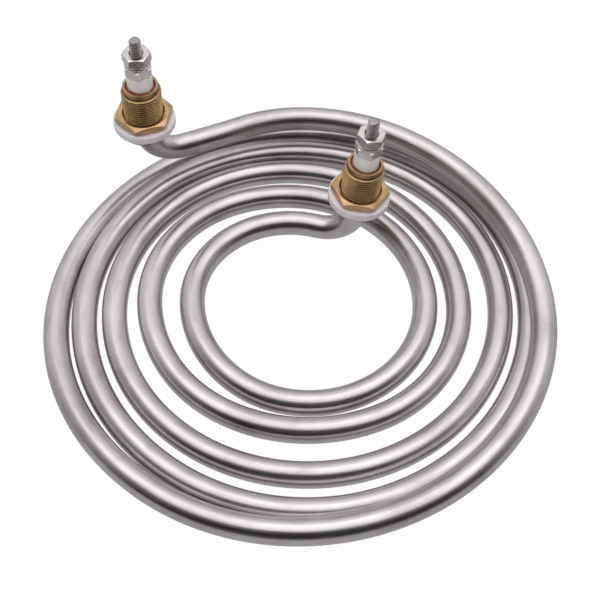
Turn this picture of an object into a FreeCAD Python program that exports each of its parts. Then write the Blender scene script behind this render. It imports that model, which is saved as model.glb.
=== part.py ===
import FreeCAD, Part
import math
import os

import Sketcher
from FreeCAD import Placement, Rotation, Vector

# Flat-spiral tubular immersion heater with two screw-in terminals, in millimetres.
# A sheath tube is wound in five turns. Both ends are bent upwards, and each carries a threaded
# brass bushing with a sealing washer and a lock nut, and an insulated stud for the supply lead.

doc = FreeCAD.newDocument("immersion_heater")

# ---------------------------------------------------------------- driving sizes
SIZES = [
    ("tube_diameter", 8.75, "sheath tube, outside"),
    ("tube_wall", 0.7, "sheath tube wall"),
    ("heating_coil_radius", 1.45, "envelope of the resistance wire helix, outside"),
    ("heating_coil_core", 0.9, "free core inside the resistance wire helix"),
    ("inner_clearance", 0.05, "radial clearance round the pins and the helix"),
    ("lead_height", 14.9, "outer lead above the flat turns, centre to centre"),
    ("bend_radius", 13.1, "centreline of both upward bends"),
    ("outer_straight", 2.6, "straight between the outer bend and the top of the flange"),
    ("inner_straight", 6.1, "straight between the inner bend and the top of the flange"),
    ("outer_terminal_x", -56.3, "top of the outer flange, from the coil centre"),
    ("outer_terminal_y", 55.5, "top of the outer flange, from the coil centre"),
    ("inner_terminal_x", 20.2, "top of the inner flange, from the coil centre"),
    ("inner_terminal_y", 33.5, "top of the inner flange, from the coil centre"),
    ("outer_lead_turn", -23.0, "heading of the outer lead, degrees clockwise from +X"),
    ("inner_lead_turn", 11.0, "heading of the inner lead, degrees clockwise from +X"),
    ("outer_lean_right", 0.0, "lean of the outer terminal, degrees"),
    ("outer_lean_back", 1.8, "lean of the outer terminal, degrees"),
    ("inner_lean_right", 4.9, "lean of the inner terminal, degrees"),
    ("inner_lean_back", 2.0, "lean of the inner terminal, degrees"),
    ("thread_radius", 7.0, "bushing thread crest, M14 x 1"),
    ("thread_pitch", 1.0, "bushing thread"),
    ("thread_depth", 0.61, "bushing thread, crest to root"),
    ("thread_crest", 0.2, "flat on the crest of the bushing thread"),
    ("thread_grooves", 9, "grooves in the bushing thread"),
    ("flange_radius", 9.0, "flange under the sealing washer"),
    ("flange_thickness", 2.2, "flange under the sealing washer"),
    ("bushing_height", 18.3, "bushing mouth above the flange"),
    ("rim_height", 1.85, "plain rim above the bushing thread"),
    ("rim_radius", 6.2, "plain rim, and the neck under the lock nut"),
    ("mouth_step", 0.875, "bore of the bushing mouth, beyond the sheath tube"),
    ("sheath_top", 10.5, "end of the sheath tube above the flange"),
    ("seal_depth", 0.5, "sealing compound below the mouth"),
    ("washer_radius", 11.0, "sealing washer"),
    ("washer_thickness", 3.25, "sealing washer"),
    ("thread_clearance", 0.07, "radial clearance of a nut or washer on a thread crest"),
    ("seat_gap", 0.05, "gap at a seat that comes apart"),
    ("lock_nut_flats", 18.4, "lock nut across flats"),
    ("lock_nut_thickness", 2.95, "lock nut"),
    ("insulator_radius", 4.5, "ceramic insulator"),
    ("insulator_foot", 0.9, "sealing compound between the sheath end and the insulator"),
    ("insulator_top", 24.0, "ceramic insulator above the flange"),
    ("insulator_step", 19.3, "step in the insulator bore above the flange"),
    ("pin_radius", 1.4, "cold pin inside the sheath"),
    ("stud_radius", 2.0, "stud thread crest, M4"),
    ("stud_pitch", 0.7, "stud thread"),
    ("stud_depth", 0.43, "stud thread, crest to root"),
    ("stud_crest", 0.15, "flat on the crest of the stud thread"),
    ("stud_grooves", 7, "grooves in the free end of the stud"),
    ("stud_neck", 1.8, "stud radius inside the nuts and the insulator"),
    ("stud_tip", 0.4, "chamfer on the end of the stud"),
    ("stud_top", 38.0, "end of the stud above the flange"),
    ("terminal_nut_flats", 8.7, "terminal nuts across flats"),
    ("terminal_nut_thickness", 3.45, "terminal nuts"),
    ("nut_countersink", 2.55, "countersink radius at both faces of a terminal nut"),
    ("flat_washer_radius", 4.6, "flat washer"),
    ("flat_washer_thickness", 0.7, "flat washer"),
    ("spring_washer_radius", 4.2, "spring washer"),
    ("spring_washer_thickness", 0.85, "spring washer"),
    ("spring_washer_split", 0.7, "width of the cut through the spring washer"),
    ("washer_bore", 2.2, "bore radius of the flat and the spring washer"),
]

# Radius of the innermost turn at six places, each 60 degrees further clockwise from the back.
INNER_TURN = (49.2, 45.5, 43.1, 39.9, 36.9, 38.1)

# Clear gap between each turn and the next turn in, at the same six places, outermost turn first.
# A negative gap is where the raised start of the outermost turn passes above its neighbour.
TURN_GAPS = (
    (-13.0, -10.7, -2.8, -0.3, 1.1, 0.0),
    (0.5, 1.3, 2.2, 3.8, 2.2, 0.9),
    (1.3, 5.8, 5.5, 7.3, 4.9, 2.0),
    (3.5, 2.9, 3.0, 1.5, 5.1, 6.4),
)

# Height of the outermost turn over the flat turns at its first places, from the raised start down,
# in tube diameters: it crosses above its neighbour and has to clear it by more than one.
START_HEIGHTS = (1.54, 1.19, 0.81, 0.38, 0.07, -0.24, -0.07)

# Change of radius per radian where the lead joins the coil and where the coil ends.
START_SLOPE = 4.3
END_SLOPE = 0.3

# Direction of a corner of each hexagon about its terminal, degrees anticlockwise from +X.
CORNERS = {
    "outer": {"lock_nut": -99.4, "lower_terminal_nut": -85.0, "upper_terminal_nut": -115.9},
    "inner": {"lock_nut": -124.9, "lower_terminal_nut": -79.6, "upper_terminal_nut": -108.5},
}

sheet = doc.addObject("Spreadsheet::Sheet", "sizes")
for row, (alias, value, meaning) in enumerate(SIZES, 1):
    sheet.set("A%d" % row, alias)
    sheet.set("B%d" % row, str(value))
    sheet.setAlias("B%d" % row, alias)
    sheet.set("C%d" % row, meaning)
doc.recompute()

parts = []


def size(alias):
    """The number in the sheet's cell of that name."""
    return float(sheet.get(alias))


def keep(piece, name, placement=None):
    """Name a finished sub-part, put it in its place and list it for export."""
    piece.Label = name
    if placement is not None:
        piece.Placement = placement
    parts.append(piece)
    return piece


# ---------------------------------------------------------------- centreline of the tube
def unit(vector):
    return Vector(vector).normalize()


def heading(degrees_clockwise):
    """Horizontal unit vector, clockwise from +X seen from above."""
    angle = math.radians(degrees_clockwise)
    return Vector(math.cos(angle), -math.sin(angle), 0)


def arc_between(start, tangent, end):
    """Arc that leaves start along tangent and reaches end."""
    chord = end - start
    off_line = chord - tangent * chord.dot(tangent)
    if off_line.Length < 1e-6:
        return Part.LineSegment(start, end).toShape()
    half_turn = math.atan2(off_line.Length, chord.dot(tangent))
    radius = chord.Length / 2 / math.sin(half_turn)
    side = unit(off_line)
    middle = start + (tangent * math.sin(half_turn) + side * (1 - math.cos(half_turn))) * radius
    return Part.Arc(start, middle, end).toShape()


def two_arcs(start, start_tangent, end, end_tangent):
    """Two arcs that meet smoothly and join two points along given tangents."""
    chord = end - start
    total = start_tangent + end_tangent
    a = 2 * (1 - start_tangent.dot(end_tangent))
    b = chord.dot(total)
    c = chord.dot(chord)
    reach = c / (2 * b) if a < 1e-9 else (math.sqrt(b * b + a * c) - b) / a
    first_corner = start + start_tangent * reach
    second_corner = end - end_tangent * reach
    joint = (first_corner + second_corner) * 0.5
    joint_tangent = unit(second_corner - first_corner)
    return [arc_between(start, start_tangent, joint), arc_between(joint, joint_tangent, end)]


def turn_radii():
    """Centreline radius at every place, built outwards from the innermost turn."""
    turns = [list(INNER_TURN)]
    for gaps in reversed(TURN_GAPS):
        spacing = [size("tube_diameter") + gap for gap in gaps]
        turns.insert(0, [radius + step for radius, step in zip(turns[0], spacing)])
    return [radius for turn in turns for radius in turn]


def coil_stations():
    """Points and tangents of the centreline, 60 degrees apart, from the outside in."""
    step = math.radians(60)
    radii = turn_radii()
    heights = [share * size("tube_diameter") for share in START_HEIGHTS]
    heights += [0.0] * (len(radii) - len(heights))
    stations = []
    for index, (radius, height) in enumerate(zip(radii, heights)):
        before = max(index - 1, 0)
        after = min(index + 1, len(radii) - 1)
        span = step * (after - before)
        slope = (radii[after] - radii[before]) / span
        climb = (heights[after] - heights[before]) / span
        if index == 0:
            slope = START_SLOPE
        if index == len(radii) - 1:
            slope = END_SLOPE
        outwards = Vector(math.sin(index * step), math.cos(index * step), 0)
        onwards = Vector(outwards.y, -outwards.x, 0)
        point = outwards * radius + Vector(0, 0, height)
        tangent = unit(onwards * radius + outwards * slope + Vector(0, 0, climb))
        stations.append((point, tangent))
    return stations


def terminal_axis(side):
    lean_right = math.radians(size(side + "_lean_right"))
    lean_back = math.radians(size(side + "_lean_back"))
    return unit(Vector(math.sin(lean_right), math.sin(lean_back), 1))


def terminal_end(side, travel, level):
    """Foot of a terminal, the ends of its bend and the lead's direction, for a level lead."""
    axis = terminal_axis(side)
    travel = unit(travel - axis * travel.dot(axis))
    radius = size("bend_radius")
    straight = size(side + "_straight")
    foot = Vector(size(side + "_terminal_x"), size(side + "_terminal_y"), 0)
    foot.z = level + (radius + straight) * axis.z + radius * travel.z
    bend_top = foot - axis * straight
    bend_foot = bend_top - axis * radius - travel * radius
    return foot, axis, bend_top, bend_foot, travel


def make_route():
    """Edges of the risers and of the bends and turns between them."""
    stations = coil_stations()
    back = heading(size("outer_lead_turn")) * -1
    foot_a, axis_a, top_a, low_a, into_a = terminal_end("outer", back, size("lead_height"))
    ahead = heading(size("inner_lead_turn"))
    foot_b, axis_b, top_b, low_b, into_b = terminal_end("inner", ahead, 0.0)
    first_riser = [Part.LineSegment(foot_a + axis_a * size("sheath_top"), top_a).toShape()]
    last_riser = [Part.LineSegment(top_b, foot_b + axis_b * size("sheath_top")).toShape()]
    heated = [arc_between(top_a, axis_a * -1, low_a)]
    heated += two_arcs(low_a, into_a * -1, *stations[0])
    for (start, start_tangent), (end, end_tangent) in zip(stations, stations[1:]):
        heated += two_arcs(start, start_tangent, end, end_tangent)
    heated += two_arcs(*stations[-1], low_b, into_b)
    heated += [arc_between(low_b, into_b, top_b)]
    return first_riser, heated, last_riser, {"outer": (foot_a, axis_a), "inner": (foot_b, axis_b)}


def bottom_centre(edges):
    """Middle of the tube's plan and its lowest level."""
    points = [point for edge in edges for point in edge.discretize(24)]
    low_x, high_x = min(p.x for p in points), max(p.x for p in points)
    low_y, high_y = min(p.y for p in points), max(p.y for p in points)
    floor = min(p.z for p in points) - size("tube_diameter") / 2
    return Vector((low_x + high_x) / 2, (low_y + high_y) / 2, floor)


first_riser, heated, last_riser, terminals = make_route()
origin = bottom_centre(heated)
for edge in first_riser + heated + last_riser:
    edge.translate(origin * -1)


def place_at(side, height=0.0, corner=0.0):
    """Placement on a terminal's axis at a height above its flange, turned by a corner's angle."""
    foot, axis = terminals[side]
    tilt = Rotation(Vector(0, 0, 1), axis)
    turn = Rotation(Vector(0, 0, 1), corner)
    return Placement(foot - origin + axis * height, tilt * turn)


# ---------------------------------------------------------------- tube, filling and heating coil
def wire_feature(name, edges):
    feature = doc.addObject("Part::Feature", name)
    feature.Shape = Part.Wire(edges)
    return feature


def swept(name, route, radius):
    """Round bar along a route, with its radius bound to the sheet."""
    start = route.Shape.Edges[0]
    section = doc.addObject("Part::Circle", name + "_section")
    section.setExpression("Radius", radius)
    tangent = start.tangentAt(start.FirstParameter)
    section.Placement = Placement(start.valueAt(start.FirstParameter),
                                  Rotation(Vector(0, 0, 1), tangent))
    bar = doc.addObject("Part::Sweep", name)
    bar.Sections = [section]
    bar.Spine = (route, ["Edge%d" % (i + 1) for i in range(len(route.Shape.Edges))])
    bar.Solid = True
    bar.Frenet = False
    return bar


def hollow(name, outer, inner):
    cut = doc.addObject("Part::Cut", name)
    cut.Base = outer
    cut.Tool = inner
    return cut


TUBE_BORE = "sizes.tube_diameter / 2 - sizes.tube_wall"
HELIX_SPACE = "sizes.heating_coil_radius + sizes.inner_clearance"

tube_route = wire_feature("tube_route", first_riser + heated + last_riser)
heated_route = wire_feature("heated_route", heated)

sheath = hollow("sheath", swept("sheath_outside", tube_route, "sizes.tube_diameter / 2"),
                swept("sheath_bore", tube_route, TUBE_BORE))
keep(sheath, "sheath_tube")
filling = hollow("filling", swept("filling_outside", tube_route, TUBE_BORE),
                 swept("filling_bore", tube_route, HELIX_SPACE))
keep(filling, "magnesia_fill")
helix = hollow("helix", swept("helix_outside", heated_route, "sizes.heating_coil_radius"),
               swept("helix_core", heated_route, "sizes.heating_coil_core"))
keep(helix, "resistance_coil")


# ---------------------------------------------------------------- turned and hexagonal pieces
def profile(body, name, role, points):
    """Closed sketch on an origin plane, with every corner bound to a pair of expressions."""
    sketch = body.newObject("Sketcher::SketchObject", name)
    plane = [item for item in body.Origin.OriginFeatures if item.Role == role][0]
    sketch.AttachmentSupport = (plane, "")
    sketch.MapMode = "FlatFace"
    corners = [(float(sketch.evalExpression(a)), float(sketch.evalExpression(b))) for a, b in points]
    count = len(points)
    for index in range(count):
        start = Vector(*corners[index], 0)
        end = Vector(*corners[(index + 1) % count], 0)
        sketch.addGeometry(Part.LineSegment(start, end))
    for index in range(count):
        sketch.addConstraint(Sketcher.Constraint("Coincident", index, 2, (index + 1) % count, 1))
    for index, pair in enumerate(points):
        for axis, text, value in zip(("DistanceX", "DistanceY"), pair, corners[index]):
            number = sketch.addConstraint(Sketcher.Constraint(axis, -1, 1, index, 1, value))
            if "sizes." in text:
                sketch.setExpression("Constraints[%d]" % number, text)
    return sketch


def turned(name, points):
    """Body turned about its own Z axis from pairs of radius and height."""
    body = doc.addObject("PartDesign::Body", name)
    sketch = profile(body, name + "_profile", "XZ_Plane", points)
    turning = body.newObject("PartDesign::Revolution", name + "_turning")
    turning.Profile = sketch
    turning.ReferenceAxis = (sketch, ["V_Axis"])
    turning.Angle = 360
    return body


def groove(body, name, points):
    """Turned cut in a body, from pairs of radius and height."""
    sketch = profile(body, name + "_profile", "XZ_Plane", points)
    cut = body.newObject("PartDesign::Groove", name)
    cut.Profile = sketch
    cut.ReferenceAxis = (sketch, ["V_Axis"])
    cut.Angle = 360
    return cut


def thread_rings(body, name, crest_radius, depth, pitch, crest, lowest, count):
    """Row of V grooves one pitch apart that stands for a thread; lowest is the first crest's top."""
    outside = "%s + %s" % (crest_radius, depth)
    root = "%s - %s" % (crest_radius, depth)
    flank = "(%s - %s) * 0.42" % (pitch, crest)
    width = "%s - %s" % (pitch, crest)
    cut = groove(body, name + "_groove", [
        (outside, "%s - %s" % (lowest, flank)),
        (outside, "%s + %s + %s" % (lowest, width, flank)),
        (root, "%s + %s - %s" % (lowest, width, flank)),
        (root, "%s + %s" % (lowest, flank)),
    ])
    doc.recompute()
    rings = body.newObject("PartDesign::LinearPattern", name)
    rings.Originals = [cut]
    rings.Direction = (cut.Profile[0], ["V_Axis"])
    rings.setExpression("Occurrences", count)
    rings.setExpression("Length", "%s * (%s - 1)" % (pitch, count))
    body.Tip = rings


def hex_nut(name, flats, thickness, bore, countersink):
    """Hexagonal nut on its own Z axis, a corner on +X, chamfered on both faces."""
    body = doc.addObject("PartDesign::Body", name)
    corner = "%s / 2 / cos(30 deg)" % flats
    points = [("%s * cos(%d deg)" % (corner, 60 * k), "%s * sin(%d deg)" % (corner, 60 * k))
              for k in range(6)]
    sketch = profile(body, name + "_hexagon", "XY_Plane", points)
    pad = body.newObject("PartDesign::Pad", name + "_blank")
    pad.Profile = sketch
    pad.setExpression("Length", thickness)
    face = "%s * 0.48" % flats
    beyond = "%s * 0.68" % flats
    drop = "(%s - %s) * tan(30 deg)" % (beyond, face)
    groove(body, name + "_top_chamfer", [(face, thickness), (beyond, "%s + 1" % thickness),
                                         (beyond, "%s - %s" % (thickness, drop))])
    groove(body, name + "_bottom_chamfer", [(face, "0"), (beyond, drop), (beyond, "0 - 1")])
    sink = "%s - %s" % (countersink, bore)
    groove(body, name + "_bore", [
        ("0", "0"), (countersink, "0"), (bore, sink),
        (bore, "%s - (%s)" % (thickness, sink)), (countersink, thickness), ("0", thickness),
    ])
    return body


def ring(name, bore, radius, thickness):
    return turned(name, [(bore, "0"), (radius, "0"), (radius, thickness), (bore, thickness)])


# ---------------------------------------------------------------- heights above the flange
CREST_BORE = "sizes.thread_radius + sizes.thread_clearance"
STUD_BORE = "sizes.stud_radius + sizes.thread_clearance"
SHEATH_BORE = "sizes.tube_diameter / 2 + sizes.inner_clearance"
THREAD_ROOT = "sizes.thread_radius - sizes.thread_depth"
THREAD_TOP = "sizes.bushing_height - sizes.rim_height"
THREAD_LENGTH = "(sizes.thread_grooves * sizes.thread_pitch + sizes.thread_crest)"
THREAD_START = "%s - %s" % (THREAD_TOP, THREAD_LENGTH)
STUD_THREAD_TOP = "sizes.stud_top - sizes.stud_tip"
STUD_THREAD_LENGTH = "(sizes.stud_grooves * sizes.stud_pitch + sizes.stud_crest)"
STUD_THREAD_START = "%s - %s" % (STUD_THREAD_TOP, STUD_THREAD_LENGTH)
SEAL_TOP = "sizes.bushing_height - sizes.seal_depth"
MOUTH_RADIUS = "sizes.tube_diameter / 2 + sizes.mouth_step"
SEAL_RADIUS = MOUTH_RADIUS + " - sizes.inner_clearance"
INSULATOR_BASE = "sizes.sheath_top + sizes.insulator_foot"
INSULATOR_SEAT = "sizes.insulator_radius + sizes.inner_clearance"
PIN_BORE = "sizes.pin_radius + sizes.inner_clearance"


def make_bushing(name):
    body = turned(name, [
        (SHEATH_BORE, "0 - sizes.flange_thickness"),
        ("sizes.flange_radius", "0 - sizes.flange_thickness"),
        ("sizes.flange_radius", "0"),
        (THREAD_ROOT, "0"),
        (THREAD_ROOT, THREAD_START),
        ("sizes.thread_radius", THREAD_START),
        ("sizes.thread_radius", THREAD_TOP),
        ("sizes.rim_radius", THREAD_TOP),
        ("sizes.rim_radius", "sizes.bushing_height"),
        (MOUTH_RADIUS, "sizes.bushing_height"),
        (MOUTH_RADIUS, "sizes.sheath_top"),
        (SHEATH_BORE, "sizes.sheath_top"),
    ])
    thread_rings(body, name + "_thread", "sizes.thread_radius", "sizes.thread_depth",
                 "sizes.thread_pitch", "sizes.thread_crest",
                 "%s + sizes.thread_crest" % THREAD_START, "sizes.thread_grooves")
    return body


def make_pin(name, straight):
    """Cold pin and stud in one piece, from the foot of the riser to the free end."""
    body = turned(name, [
        ("0", "0 - %s" % straight),
        ("sizes.pin_radius", "0 - %s" % straight),
        ("sizes.pin_radius", "sizes.insulator_step"),
        ("sizes.stud_neck", "sizes.insulator_step"),
        ("sizes.stud_neck", STUD_THREAD_START),
        ("sizes.stud_radius", STUD_THREAD_START),
        ("sizes.stud_radius", STUD_THREAD_TOP),
        ("sizes.stud_radius - sizes.stud_tip", "sizes.stud_top"),
        ("0", "sizes.stud_top"),
    ])
    thread_rings(body, name + "_thread", "sizes.stud_radius", "sizes.stud_depth",
                 "sizes.stud_pitch", "sizes.stud_crest",
                 "%s + sizes.stud_crest" % STUD_THREAD_START, "sizes.stud_grooves")
    return body


def make_insulator(name):
    neck = "sizes.stud_neck + sizes.inner_clearance"
    edge = "sizes.insulator_radius - 0.35"
    return turned(name, [
        (PIN_BORE, INSULATOR_BASE),
        ("sizes.insulator_radius", INSULATOR_BASE),
        ("sizes.insulator_radius", "sizes.insulator_top - 0.35"),
        (edge, "sizes.insulator_top"),
        (neck, "sizes.insulator_top"),
        (neck, "sizes.insulator_step - sizes.seat_gap"),
        (PIN_BORE, "sizes.insulator_step - sizes.seat_gap"),
    ])


def make_seal(name):
    """Cup of sealing compound round and under the insulator."""
    return turned(name, [
        (PIN_BORE, "sizes.sheath_top"),
        (SEAL_RADIUS, "sizes.sheath_top"),
        (SEAL_RADIUS, SEAL_TOP),
        (INSULATOR_SEAT, "%s + sizes.seal_depth" % SEAL_TOP),
        (INSULATOR_SEAT, INSULATOR_BASE),
        (PIN_BORE, INSULATOR_BASE),
    ])


def make_spring_washer(name):
    """Ring with one radial cut."""
    whole = ring(name + "_ring", "sizes.washer_bore", "sizes.spring_washer_radius",
                 "sizes.spring_washer_thickness")
    split = doc.addObject("Part::Box", name + "_split")
    split.setExpression("Length", "sizes.spring_washer_radius * 2")
    split.setExpression("Width", "sizes.spring_washer_split")
    split.setExpression("Height", "sizes.spring_washer_thickness * 3")
    split.setExpression("Placement.Base.y", "0 - sizes.spring_washer_split / 2")
    split.setExpression("Placement.Base.z", "0 - sizes.spring_washer_thickness")
    return hollow(name, whole, split)


for side in ("outer", "inner"):
    corners = CORNERS[side]
    gap = size("seat_gap")
    washer_seat = gap
    lock_seat = washer_seat + size("washer_thickness") + gap
    lower_seat = size("insulator_top")
    flat_seat = lower_seat + size("terminal_nut_thickness") + gap
    spring_seat = flat_seat + size("flat_washer_thickness")
    upper_seat = spring_seat + size("spring_washer_thickness") + gap

    keep(make_bushing(side + "_bushing"), side + "_threaded_bushing", place_at(side))
    keep(ring(side + "_gasket", CREST_BORE, "sizes.washer_radius", "sizes.washer_thickness"),
         side + "_sealing_washer", place_at(side, washer_seat))
    keep(hex_nut(side + "_locknut", "sizes.lock_nut_flats", "sizes.lock_nut_thickness",
                 CREST_BORE, "%s + 0.45" % CREST_BORE),
         side + "_lock_nut", place_at(side, lock_seat, corners["lock_nut"]))
    keep(make_pin(side + "_pin", "sizes.%s_straight" % side), side + "_terminal_pin",
         place_at(side))
    keep(make_insulator(side + "_insulator"), side + "_ceramic_insulator", place_at(side))
    keep(make_seal(side + "_seal"), side + "_end_seal", place_at(side))
    for name, seat in (("lower_terminal_nut", lower_seat), ("upper_terminal_nut", upper_seat)):
        nut = hex_nut("%s_%s_body" % (side, name), "sizes.terminal_nut_flats",
                      "sizes.terminal_nut_thickness", STUD_BORE, "sizes.nut_countersink")
        keep(nut, "%s_%s" % (side, name), place_at(side, seat, corners[name]))
    keep(ring(side + "_plain_washer", "sizes.washer_bore", "sizes.flat_washer_radius",
              "sizes.flat_washer_thickness"),
         side + "_flat_washer", place_at(side, flat_seat))
    keep(make_spring_washer(side + "_split_washer"), side + "_spring_washer",
         place_at(side, spring_seat, corners["upper_terminal_nut"] + 150))

doc.recompute()

# ---------------------------------------------------------------- checks and export
for item in doc.Objects:
    if "Invalid" in item.State or "Error" in item.State:
        raise RuntimeError("%s failed: %s" % (item.Label, item.State))
for piece in parts:
    if piece.Shape.isNull() or not piece.Shape.isValid() or piece.Shape.Volume <= 0:
        raise RuntimeError("%s has no valid solid" % piece.Label)

route_length = tube_route.Shape.Length
bore_radius = size("tube_diameter") / 2 - size("tube_wall")
section_area = math.pi * ((size("tube_diameter") / 2) ** 2 - bore_radius ** 2)
print("sheath length %.1f, volume ratio %.5f"
      % (route_length, sheath.Shape.Volume / (route_length * section_area)))
for side, (foot, axis) in terminals.items():
    place = foot - origin
    print("%s terminal foot %.3f %.3f %.3f axis %.5f %.5f %.5f"
          % (side, place.x, place.y, place.z, axis.x, axis.y, axis.z))

os.makedirs("parts", exist_ok=True)
for piece in parts:
    piece.Shape.exportStep("parts/%s.step" % piece.Label)
print("%d sub-parts written" % len(parts))
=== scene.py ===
# %% [markdown]
# A flat spiral immersion heater. One long steel tube is wound in five turns, and each of its ends
# stands up and carries a brass bushing, a lock nut on a milky washer, a white ceramic sleeve and a
# threaded stud with two nuts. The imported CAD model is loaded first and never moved, because every
# piece made here has to sit exactly where the CAD has it and ride on the CAD's bodies.

# %% Load the frame
import math

import bmesh
import bpy
import numpy as np
from mathutils import Matrix


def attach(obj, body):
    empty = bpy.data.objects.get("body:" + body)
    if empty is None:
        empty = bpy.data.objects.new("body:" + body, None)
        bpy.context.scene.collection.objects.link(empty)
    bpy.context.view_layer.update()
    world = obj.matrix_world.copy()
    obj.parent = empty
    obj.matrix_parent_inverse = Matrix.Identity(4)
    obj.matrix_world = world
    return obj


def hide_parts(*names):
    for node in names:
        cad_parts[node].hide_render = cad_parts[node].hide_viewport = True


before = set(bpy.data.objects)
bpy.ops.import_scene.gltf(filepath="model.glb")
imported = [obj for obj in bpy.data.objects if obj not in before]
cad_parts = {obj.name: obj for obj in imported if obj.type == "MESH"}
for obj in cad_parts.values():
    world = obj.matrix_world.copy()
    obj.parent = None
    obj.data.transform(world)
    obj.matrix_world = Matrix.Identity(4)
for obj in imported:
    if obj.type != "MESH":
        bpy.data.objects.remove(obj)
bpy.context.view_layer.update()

# %% [markdown]
# The tube's centreline decides where everything else is, so it comes first. It could be a free
# curve drawn by eye, but a bent tube is really made of arcs, so the line is made of pairs of
# arcs that meet smoothly. The coil is given by its radius every 60 degrees: the innermost turn,
# then the clear gap to each turn outside it. All lengths are in millimetres until a mesh is made.

# %% Sizes of the coil
TUBE_RADIUS = 4.375
TUBE_BORE = 3.675
BEND_RADIUS = 13.1
LEAD_HEIGHT = 14.9
INNER_TURN = np.array([49.2, 45.5, 43.1, 39.9, 36.9, 38.1])
TURN_GAPS = np.array([
    [-13.0, -10.7, -2.8, -0.3, 1.1, 0.0],
    [0.5, 1.3, 2.2, 3.8, 2.2, 0.9],
    [1.3, 5.8, 5.5, 7.3, 4.9, 2.0],
    [3.5, 2.9, 3.0, 1.5, 5.1, 6.4],
])
START_HEIGHTS = np.array([1.54, 1.19, 0.81, 0.38, 0.07, -0.24, -0.07]) * 2 * TUBE_RADIUS
START_SLOPE, END_SLOPE = 4.3, 0.3
ENDS = {
    "outer": dict(x=-56.3, y=55.5, lean_right=0.0, lean_back=1.8, heading=157.0, level=LEAD_HEIGHT,
                  straight=2.6, lock_nut=-99.4, lower_nut=-85.0, upper_nut=-115.9),
    "inner": dict(x=20.2, y=33.5, lean_right=4.9, lean_back=2.0, heading=11.0, level=0.0,
                  straight=6.1, lock_nut=-124.9, lower_nut=-79.6, upper_nut=-108.5),
}
SHEATH_TOP = 10.5


UP = np.array([0, 0, 1.0])


def unit(vectors):
    """Vectors divided by their length."""
    vectors = np.asarray(vectors, float)
    return vectors / np.linalg.norm(vectors, axis=-1, keepdims=True)


# %% Stations of the coil
def coil_stations():
    """Point and tangent every 60 degrees, clockwise from the back seen from above.

    Each turn's radius is the next turn's radius plus the tube's diameter plus the gap. With
    angle a, the point is (r sin a, r cos a, z) and the tangent is its derivative by a.
    """
    steps = TURN_GAPS + 2 * TUBE_RADIUS
    turns = INNER_TURN + np.cumsum(steps[::-1], axis=0)[::-1]
    radius = np.concatenate([turns.ravel(), INNER_TURN])
    height = np.zeros(radius.size)
    height[:START_HEIGHTS.size] = START_HEIGHTS
    angle = np.radians(60) * np.arange(radius.size)
    slope = np.gradient(radius, angle)
    slope[0], slope[-1] = START_SLOPE, END_SLOPE
    climb = np.gradient(height, angle)
    out = np.stack([np.sin(angle), np.cos(angle), 0 * angle], -1)
    onward = np.stack([np.cos(angle), -np.sin(angle), 0 * angle], -1)
    points = out * radius[:, None] + UP * height[:, None]
    tangents = onward * radius[:, None] + out * slope[:, None] + UP * climb[:, None]
    return points, unit(tangents)


stations, station_tangents = coil_stations()
print("coil radii in mm", np.round(np.hypot(stations[:, 0], stations[:, 1]), 1))


# %% Feet of the two terminals
def terminal_end(end):
    """Foot, axis, ends of the bend and the level direction of travel for one end of the tube.

    From the foot the tube goes straight along the axis, then turns a quarter circle.
    """
    lean_right, lean_back = math.radians(end["lean_right"]), math.radians(end["lean_back"])
    axis = unit([math.sin(lean_right), math.sin(lean_back), 1])
    course = math.radians(end["heading"])
    travel = np.array([math.cos(course), -math.sin(course), 0.0])
    travel = unit(travel - axis * (axis @ travel))
    rise = (BEND_RADIUS + end["straight"]) * axis[2] + BEND_RADIUS * travel[2]
    foot = np.array([end["x"], end["y"], end["level"] + rise])
    bend_top = foot - axis * end["straight"]
    bend_foot = bend_top - axis * BEND_RADIUS - travel * BEND_RADIUS
    return dict(foot=foot, axis=axis, top=bend_top, low=bend_foot, travel=travel)


terminal = {side: terminal_end(end) for side, end in ENDS.items()}
for side, place in terminal.items():
    print(side, "foot in the coil's own frame", np.round(place["foot"], 2))

# %% [markdown]
# A pair of arcs joins two points along given tangents. The first arc leaves the first point along
# its tangent, the second reaches the second point along its own, and they share a tangent where
# they meet. A spline through the same points would bulge between them; arcs don't.


# %% Arcs of the centreline
def arc(start, tangent, end, spacing=1.2):
    """Points and tangents of the arc that leaves start along tangent and reaches end.

    With half turn h, radius = chord / (2 sin h), and a point at angle a is
    start + radius * (tangent sin a + side (1 - cos a)).
    """
    chord = end - start
    off_line = chord - tangent * (chord @ tangent)
    length = np.linalg.norm(chord)
    count = max(int(math.ceil(length / spacing)), 2)
    if np.linalg.norm(off_line) < 1e-6:
        share = np.linspace(0, 1, count + 1)[:, None]
        return start + chord * share, np.repeat(tangent[None], count + 1, 0)
    half = math.atan2(np.linalg.norm(off_line), chord @ tangent)
    radius = length / 2 / math.sin(half)
    side = unit(off_line)
    angle = np.linspace(0, 2 * half, count + 1)[:, None]
    points = start + radius * (tangent * np.sin(angle) + side * (1 - np.cos(angle)))
    return points, tangent * np.cos(angle) + side * np.sin(angle)


def two_arcs(start, start_tangent, end, end_tangent):
    """Two arcs that meet smoothly, from start to end."""
    chord = end - start
    a = 2 * (1 - start_tangent @ end_tangent)
    b = chord @ (start_tangent + end_tangent)
    c = chord @ chord
    reach = c / (2 * b) if a < 1e-9 else (math.sqrt(b * b + a * c) - b) / a
    first, second = start + start_tangent * reach, end - end_tangent * reach
    middle = (first + second) / 2
    return [arc(start, start_tangent, middle), arc(middle, unit(second - first), end)]


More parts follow.
